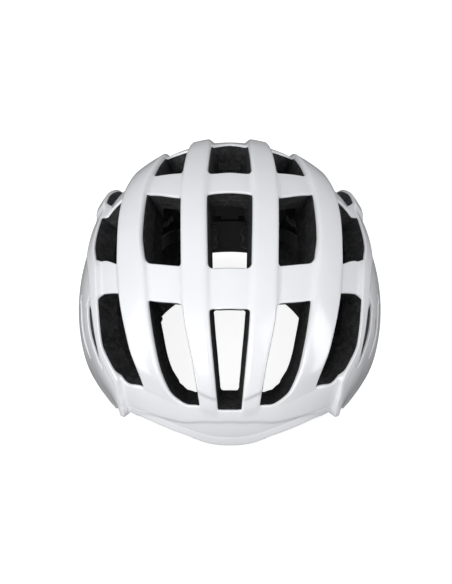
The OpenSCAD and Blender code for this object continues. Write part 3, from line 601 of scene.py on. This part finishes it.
PADS = [cushion("front_pad_knit", on_dome(-4.2, 4.2, 0.15, 0.62), 260, 30, PAD_T, "s",
                (0.14, 0.27, 0.42, 0.58, 0.73, 0.86))]
for word, sign in SIDES:
    PADS.append(cushion("crown_pad_knit_" + word, on_dome(1.15 * sign, 1.85 * sign, 3.1, 5.8),
                        28, 150, PAD_T, "t", (0.35, 0.68)))
    PADS.append(cushion("side_pad_knit_" + word, on_dome(3.15 * sign, 3.85 * sign, 2.1, 5),
                        28, 150, PAD_T, "t", (0.33, 0.66)))
    PADS.append(cushion("cradle_pad_knit_" + word, on_cradle(90 - 18 * sign), 40, 40, 5.6, "s", (), 1.5, 5))
PADS.append(cushion("chin_pad_knit", under_chin, 36, 34, 2.9, "s", (), 1.2, 3.5))

# ---- Webbing ----------------------------------------------------------------------------
LOW_Z, HIGH_Z, WEB_SLOT_Z, BUCKLE_Y = 1.3, 3.0, 3.3, 83.0
# Half of the section of a strap: across and up, with a thicker selvedge
SECTION = [(-7.5, 0), (-7.38, 0.36), (-7.0, 0.56), (-6.5, 0.58), (-6.1, 0.49), (-4, 0.52), (-2, 0.53),
           (0, 0.53)]


def refine(points, count):
    """Smooth route through points, with count steps between each two."""
    p = np.array(points, float)
    before, after = np.vstack([p[:1], p[:-2], p[-2:-1]])[:-1], np.vstack([p[2:], p[-1:]])
    t = np.linspace(0, 1, count, endpoint=False)[None, :, None]
    p0, p1, p2, p3 = before[:, None], p[:-1][:, None], p[1:][:, None], after[:, None]
    mid = 0.5 * (2 * p1 + (p2 - p0) * t + (2 * p0 - 5 * p1 + 4 * p2 - p3) * t ** 2
                 + (3 * p1 - p0 - 3 * p2 + p3) * t ** 3)
    return np.vstack([mid.reshape(-1, p.shape[1]), p[-1:]])


def webbing(name, route, widths=None, sign=-1):
    """Woven strap along a route for the wearer's right, mirrored where sign is 1."""
    flip = np.array([-sign, 1, 1])
    centre = refine(route, 12) * flip
    runs = unit(np.gradient(centre, axis=0))
    across = refine(widths, 12) * flip if widths else np.cross([0, 0, 1], runs)
    across = unit(across - runs * np.sum(across * runs, 1, keepdims=True))
    up = np.cross(across, runs)
    half = SECTION + [(-x, y) for x, y in SECTION[-2::-1]]
    section = np.array(half + [(x, -y) for x, y in half[-2:0:-1]])
    points = (centre[:, None] + across[:, None] * section[None, :, :1] + up[:, None] * section[None, :, 1:])
    count, around = len(centre), len(section)
    index = np.arange(count * around).reshape(count, around)
    nearby = np.roll(index, -1, axis=1)
    quads = np.stack([index[:-1], nearby[:-1], nearby[1:], index[1:]], -1).reshape(-1, 4)
    faces = [tuple(q) for q in quads] + [tuple(index[0, ::-1]), tuple(index[-1])]
    obj = new_mesh(name, points.reshape(-1, 3), faces)
    length = np.insert(np.cumsum(np.linalg.norm(np.diff(centre, axis=0), axis=1)), 0, 0)
    layer = obj.data.uv_layers.new(name="weave")
    vertex = np.array([loop.vertex_index for loop in obj.data.loops])
    at = np.stack([length[vertex // around], np.abs(section[vertex % around, 0])], 1)
    layer.data.foreach_set("uv", at.astype(np.float32).ravel())
    return smooth(face_outwards(obj), 50)


FRONT_ROUTE = ([(-73.6, -32.6, 10), (-72.5, -20, 9), (-69, -8, 6.4), (-64, 1, 3.8), (-60.4, 10, HIGH_Z),
                (-60, 22, HIGH_Z)],
               [(0.05, 0, 1), (-0.3, 0, 0.95), (-0.8, 0, 0.6), (-1, 0, 0.12), (-1, 0, 0), (-1, 0, 0)])
REAR_ROUTE = ([(-60, 27, HIGH_Z), (-60, 33, HIGH_Z), (-60, 38, HIGH_Z + 0.1), (-63.6, 43, 7.3),
               (-65.5, 48, 10.2), (-65.6, 56.6, 11)],
              [(-1, 0, 0), (-1, 0, 0), (-1, 0, 0.05), (-0.8, 0, 0.6), (-0.25, 0, 0.96), (0, 0, 1)])
RIGHT_CHIN = [(-60, 27, LOW_Z), (-60, 35, LOW_Z), (-58.5, 43, LOW_Z), (-55, 52, LOW_Z), (-50.5, 60.5, LOW_Z),
              (-45, 69, LOW_Z), (-39, 76.5, LOW_Z + 0.5), (-33.5, 81.5, WEB_SLOT_Z),
              (-27, BUCKLE_Y, WEB_SLOT_Z)]
LEFT_CHIN = [(60, 27, LOW_Z), (60, 35, LOW_Z), (58.5, 43, LOW_Z), (55.2, 52, LOW_Z), (51, 61, LOW_Z),
             (45.5, 70, LOW_Z), (39, 77.5, LOW_Z + 0.5), (32.5, 82, WEB_SLOT_Z), (28, BUCKLE_Y, WEB_SLOT_Z),
             (18, BUCKLE_Y, WEB_SLOT_Z), (8, BUCKLE_Y, WEB_SLOT_Z)]
STRAPS = [("chin_strap_left", webbing("chin_web_left", LEFT_CHIN)),
          ("chin_strap_right", webbing("chin_web_right", RIGHT_CHIN))]
for word, sign in SIDES:
    STRAPS.append(("front_strap_" + word, webbing("front_web_" + word, *FRONT_ROUTE, sign)))
    STRAPS.append(("rear_strap_" + word, webbing("rear_web_" + word, *REAR_ROUTE, sign)))


# ---- Materials --------------------------------------------------------------------------
class Paint:
    """A material's node tree, built one node at a time."""

    def __init__(self, name):
        self.material = bpy.data.materials.new(name)
        self.material.use_nodes = True
        self.tree = self.material.node_tree
        self.tree.nodes.clear()
        self.shader = self.add("ShaderNodeBsdfPrincipled")
        output = self.add("ShaderNodeOutputMaterial")
        self.tree.links.new(self.shader.outputs[0], output.inputs["Surface"])
        self.place = self.add("ShaderNodeTexCoord").outputs["Object"]

    def add(self, kind, **settings):
        node = self.tree.nodes.new(kind)
        for key, value in settings.items():
            setattr(node, key, value)
        return node

    def put(self, node, name, value):
        socket = node.inputs[name]
        if isinstance(value, bpy.types.NodeSocket):
            self.tree.links.new(value, socket)
        else:
            socket.default_value = value

    def set(self, **values):
        for key, value in values.items():
            self.put(self.shader, key.replace("_", " "), value)

    def noise(self, scale, detail=3.0, rough=0.5):
        node = self.add("ShaderNodeTexNoise")
        self.put(node, "Vector", self.place)
        for key, value in (("Scale", scale), ("Detail", detail), ("Roughness", rough)):
            self.put(node, key, value)
        return node.outputs["Fac"]

    def cells(self, scale, feature="F1", output="Distance"):
        node = self.add("ShaderNodeTexVoronoi", feature=feature)
        self.put(node, "Vector", self.place)
        self.put(node, "Scale", scale)
        return node.outputs[output]

    def math(self, operation, a, b):
        node = self.add("ShaderNodeMath", operation=operation)
        self.put(node, 0, a)
        self.put(node, 1, b)
        return node.outputs[0]

    def span(self, value, low, high, to_low, to_high):
        node = self.add("ShaderNodeMapRange")
        keys = ("Value", "From Min", "From Max", "To Min", "To Max")
        for key, v in zip(keys, (value, low, high, to_low, to_high)):
            self.put(node, key, v)
        return node.outputs[0]

    def blend(self, share, a, b):
        node = self.add("ShaderNodeMix", data_type="RGBA")
        self.put(node, "Factor", share)
        self.put(node, 6, (*a, 1) if isinstance(a, tuple) else a)
        self.put(node, 7, (*b, 1) if isinstance(b, tuple) else b)
        return node.outputs[2]

    def bump(self, height, distance, strength=1.0, under=None):
        node = self.add("ShaderNodeBump")
        self.put(node, "Height", height)
        self.put(node, "Distance", distance)
        self.put(node, "Strength", strength)
        if under is not None:
            self.put(node, "Normal", under)
        return node.outputs[0]


def shell_paint():
    p = Paint("shell_white")
    cloud = p.noise(18, 4)
    p.set(Base_Color=p.blend(p.span(cloud, 0.35, 0.65, 0, 1), (0.80, 0.81, 0.83), (0.84, 0.845, 0.86)),
          Roughness=p.span(p.noise(60, 5), 0.3, 0.7, 0.16, 0.24), IOR=1.5,
          Normal=p.bump(p.noise(420, 2), 0.00002, 0.5), Coat_Weight=0.5, Coat_Roughness=0.06)
    return p.material


def foam_paint():
    p = Paint("foam_black")
    beads = p.cells(300)
    edge = p.cells(300, "DISTANCE_TO_EDGE")
    tone = p.cells(300, output="Color")
    # Fine light flecks over the black: partly the foam's own speckle, partly painted glints that stand in for
    # highlights on the beads; the same noise also bumps the surface
    speckle_and_glint = p.noise(1600, 2)
    shade = p.blend(tone, (0.005, 0.005, 0.0055), (0.030, 0.030, 0.032))
    shade = p.blend(p.span(speckle_and_glint, 0.6, 0.74, 0, 0.7), shade, (0.13, 0.13, 0.135))
    fine = p.bump(speckle_and_glint, 0.00008, 0.6)
    p.set(Base_Color=shade, Roughness=p.span(beads, 0, 0.6, 0.5, 0.8), IOR=1.4,
          Normal=p.bump(p.math("MINIMUM", edge, 0.12), 0.0008, 0.7, fine))
    return p.material


def knit_paint():
    """Brushed knit: small loops, soft sheen and slightly lighter pile."""
    p = Paint("knit_fabric")
    loops = p.cells(1500)
    pile = p.noise(900, 4, 0.6)
    shade = p.blend(p.span(loops, 0.1, 0.6, 0, 1), (0.030, 0.030, 0.032), (0.012, 0.012, 0.013))
    shade = p.blend(p.span(pile, 0.5, 0.75, 0, 0.35), shade, (0.06, 0.06, 0.063))
    p.set(Base_Color=shade, Roughness=p.span(pile, 0.3, 0.7, 0.8, 0.95),
          Sheen_Weight=0.35, Sheen_Roughness=0.5,
          Normal=p.bump(loops, 0.00025, 0.8, p.bump(p.noise(220, 3), 0.0004, 0.4)))
    return p.material


def web_paint():
    """Herringbone webbing, laid out along each strap by its own map of millimetres."""
    p = Paint("woven_webbing")
    where = p.add("ShaderNodeUVMap", uv_map="weave").outputs["UV"]
    twill = p.add("ShaderNodeTexWave", bands_direction="DIAGONAL")
    p.put(twill, "Vector", where)
    p.put(twill, "Scale", 0.62)
    yarn = p.add("ShaderNodeTexWave", bands_direction="Y")
    p.put(yarn, "Vector", where)
    p.put(yarn, "Scale", 0.5)
    height = p.math("ADD", twill.outputs["Fac"], p.math("MULTIPLY", yarn.outputs["Fac"], 0.5))
    fuzz = p.noise(1400, 3)
    # Colour follows the weave height: lighter on the raised yarn and darker in the low grooves, which is
    # painted shade in the grooves of the twill
    shade = p.blend(p.span(height, 0.2, 1.3, 0, 1), (0.006, 0.006, 0.007), (0.035, 0.035, 0.038))
    p.set(Base_Color=p.blend(p.span(fuzz, 0.6, 0.8, 0, 0.3), shade, (0.08, 0.08, 0.085)),
          Roughness=p.span(fuzz, 0.3, 0.7, 0.55, 0.75), Sheen_Weight=0.2,
          Normal=p.bump(height, 0.00022, 0.8))
    return p.material


def nylon_paint(name, tone, rough, grain=1100, wear=0.12):
    """Moulded plastic with a fine spark-eroded grain, uneven gloss and pale scuffs."""
    p = Paint(name)
    cloud, scuff = p.noise(35, 4), p.noise(260, 6, 0.7)
    deep = tuple(0.8 * v for v in tone)
    worn = tuple(min(1, v * 1.6 + 0.02) for v in tone)
    shade = p.blend(p.span(cloud, 0.35, 0.65, 0, 1), deep, tone)
    shade = p.blend(p.span(scuff, 0.62, 0.74, 0, wear), shade, worn)
    p.set(Base_Color=shade, Roughness=p.span(scuff, 0.3, 0.7, rough - 0.07, rough + 0.07), IOR=1.5,
          Normal=p.bump(p.noise(grain, 2), 0.00005, 0.5))
    return p.material


def steel_paint(name, tone, rough):
    """Plated steel with fine turning marks."""
    p = Paint(name)
    marks = p.noise(700, 3)
    shade = p.blend(p.span(p.noise(90, 4), 0.4, 0.7, 0, 1), tone, tuple(0.7 * v for v in tone))
    p.set(Base_Color=shade, Metallic=1.0, Roughness=p.span(marks, 0.3, 0.7, rough - 0.06, rough + 0.1),
          Normal=p.bump(marks, 0.00003, 0.5))
    return p.material


def hook_paint():
    """Hook tape: rows of small stiff hooks."""
    p = Paint("hook_tape")
    hooks = p.cells(1300)
    p.set(Base_Color=p.blend(p.span(hooks, 0.1, 0.5, 0, 1), (0.07, 0.07, 0.075), (0.015, 0.015, 0.016)),
          Roughness=p.span(p.noise(500), 0.3, 0.7, 0.5, 0.7), Normal=p.bump(hooks, 0.0005, 0.9))
    return p.material


SHELL_PAINT, FOAM_PAINT = shell_paint(), foam_paint()
KNIT_PAINT, WEB_PAINT = knit_paint(), web_paint()


def dress(obj, body, material, slot, *nodes):
    obj.data.materials.clear()
    obj.data.materials.append(material)
    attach(obj, body)
    if nodes:
        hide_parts(*nodes)
    return obj


dress(smooth(shell), "root", SHELL_PAINT, "shell_white", "outer_shell")
dress(smooth(rim), "root", SHELL_PAINT, "shell_white", "rim_shell")
dress(smooth(liner), "root", FOAM_PAINT, "foam_black", "eps_liner")
for pad in PADS:
    body = "cradle" if "cradle" in pad.name else "root"
    dress(pad, body, KNIT_PAINT, "pad_fabric", pad.name.replace("_knit", ""))
for node, strap in STRAPS:
    dress(strap, "root", WEB_PAINT, "webbing", node)

# Nodes that are shown as they are: finish, rounded edge in millimetres, and the nodes
NYLON = nylon_paint("black_nylon", (0.022, 0.022, 0.024), 0.42)
SHOWN = [
    (NYLON, 0.35, ("headband_arm_left", "headband_arm_right", "rear_cradle", "height_ladder", "ladder_clip",
                   "dial_housing", "housing_cover", "divider_left", "divider_right", "cam_lever_left",
                   "cam_lever_right", "buckle_socket", "buckle_plug")),
    (nylon_paint("anchor_nylon", (0.03, 0.03, 0.032), 0.5), 0.3,
     ("temple_anchor_left", "temple_anchor_right", "front_strap_anchors", "rear_strap_anchors")),
    (nylon_paint("dial_rubber", (0.014, 0.014, 0.015), 0.72, 700, 0.2), 0.4, ("fit_dial",)),
    (nylon_paint("grey_nylon", (0.07, 0.07, 0.075), 0.45), 0.15,
     ("adjuster_belt_left", "adjuster_belt_right")),
    (nylon_paint("white_acetal", (0.7, 0.69, 0.66), 0.35), 0.1, ("dial_pinion",)),
    (nylon_paint("soft_rubber", (0.012, 0.012, 0.013), 0.8, 600, 0.25), 0.25, ("strap_keeper",)),
    (steel_paint("zinc_steel", (0.56, 0.57, 0.6), 0.3), 0.2, ("cover_screws", "dial_screw")),
    (steel_paint("spring_steel", (0.45, 0.45, 0.47), 0.22), 0.1, ("ratchet_spring",)),
    (hook_paint(), 0.1, ("pad_fasteners",)),
]
for finish, edge, names in SHOWN:
    for name in names:
        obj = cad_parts[name]
        for place in obj.material_slots:
            place.material = finish
        bevel = obj.modifiers.new("edges", "BEVEL")
        bevel.width, bevel.segments = edge * MM, 2
        bevel.limit_method, bevel.angle_limit = "ANGLE", SHARP_ANGLE * RAD


# ---- Floor, light and camera ------------------------------------------------------------
def floor_piece():
    obj = new_mesh("floor", [(-5, -5, 0), (5, -5, 0), (5, 5, 0), (-5, 5, 0)], [(0, 1, 2, 3)], 1.0)
    obj.location.z = -0.0003
    p = Paint("floor_white")
    p.set(Base_Color=(0.4, 0.4, 0.4, 1), Roughness=0.9, Emission_Color=(1, 1, 1, 1), Emission_Strength=0.88)
    p.shader.inputs["Specular IOR Level"].default_value = 0.0
    obj.data.materials.append(p.material)
    obj.visible_diffuse = obj.visible_glossy = False


def area_light(name, place, aim, size, power):
    light = bpy.data.lights.new(name, "AREA")
    light.shape, light.size, light.size_y = "RECTANGLE", size[0], size[1]
    light.energy = power
    obj = bpy.data.objects.new(name, light)
    obj.location = place
    obj.rotation_euler = (Vector(aim) - Vector(place)).to_track_quat("-Z", "Y").to_euler()
    bpy.context.scene.collection.objects.link(obj)


# Light of the studio below and above the horizon, and its strength
SKY_LOW, SKY_HIGH, SKY_STRENGTH = (0.20, 0.20, 0.21, 1), (0.97, 0.98, 1.0, 1), 0.52
floor_piece()
area_light("key", (-0.9, -1.7, 0.9), (0, 0, 0.06), (1.4, 1.2), 27)
area_light("fill", (1.4, -1.2, 0.9), (0, 0, 0.06), (1.2, 1.2), 7)
for side in (-1, 1):
    area_light("side", (1.7 * side, -0.35, 0.05), (0, -0.02, 0.05), (0.5, 1.6), 9)
world = bpy.data.worlds.new("studio")
world.use_nodes = True
sky = world.node_tree
split, rise, tone = (sky.nodes.new("ShaderNode" + kind) for kind in ("SeparateXYZ", "MapRange", "Mix"))
sky.links.new(sky.nodes.new("ShaderNodeTexCoord").outputs["Generated"], split.inputs[0])
sky.links.new(split.outputs["Z"], rise.inputs["Value"])
rise.inputs["From Min"].default_value, rise.inputs["From Max"].default_value = -0.35, 0.05
tone.data_type = "RGBA"
tone.inputs[6].default_value, tone.inputs[7].default_value = SKY_LOW, SKY_HIGH
sky.links.new(rise.outputs[0], tone.inputs["Factor"])
sky.links.new(tone.outputs[2], sky.nodes["Background"].inputs[0])
sky.nodes["Background"].inputs[1].default_value = SKY_STRENGTH
bpy.context.scene.world = world
bpy.context.scene.view_settings.view_transform = "Standard"

TARGET, DISTANCE, ELEVATION = Vector((0, 0, 0.072)), 1.300, 30 * RAD
# Lens and sensor in millimetres, and the shift of the view in widths of the sensor
LENS, SENSOR, SHIFT = 116.137, 36, (-0.006336, -0.047945)
camera = bpy.data.cameras.new("camera")
camera.sensor_width, camera.lens = SENSOR, LENS
camera.shift_x, camera.shift_y = SHIFT
camera.clip_start, camera.clip_end = 0.01, 50
view = bpy.data.objects.new("camera", camera)
view.location = TARGET + DISTANCE * Vector((0, -math.cos(ELEVATION), math.sin(ELEVATION)))
view.rotation_euler = (TARGET - view.location).to_track_quat("-Z", "Y").to_euler()
bpy.context.scene.collection.objects.link(view)
bpy.context.scene.camera = view
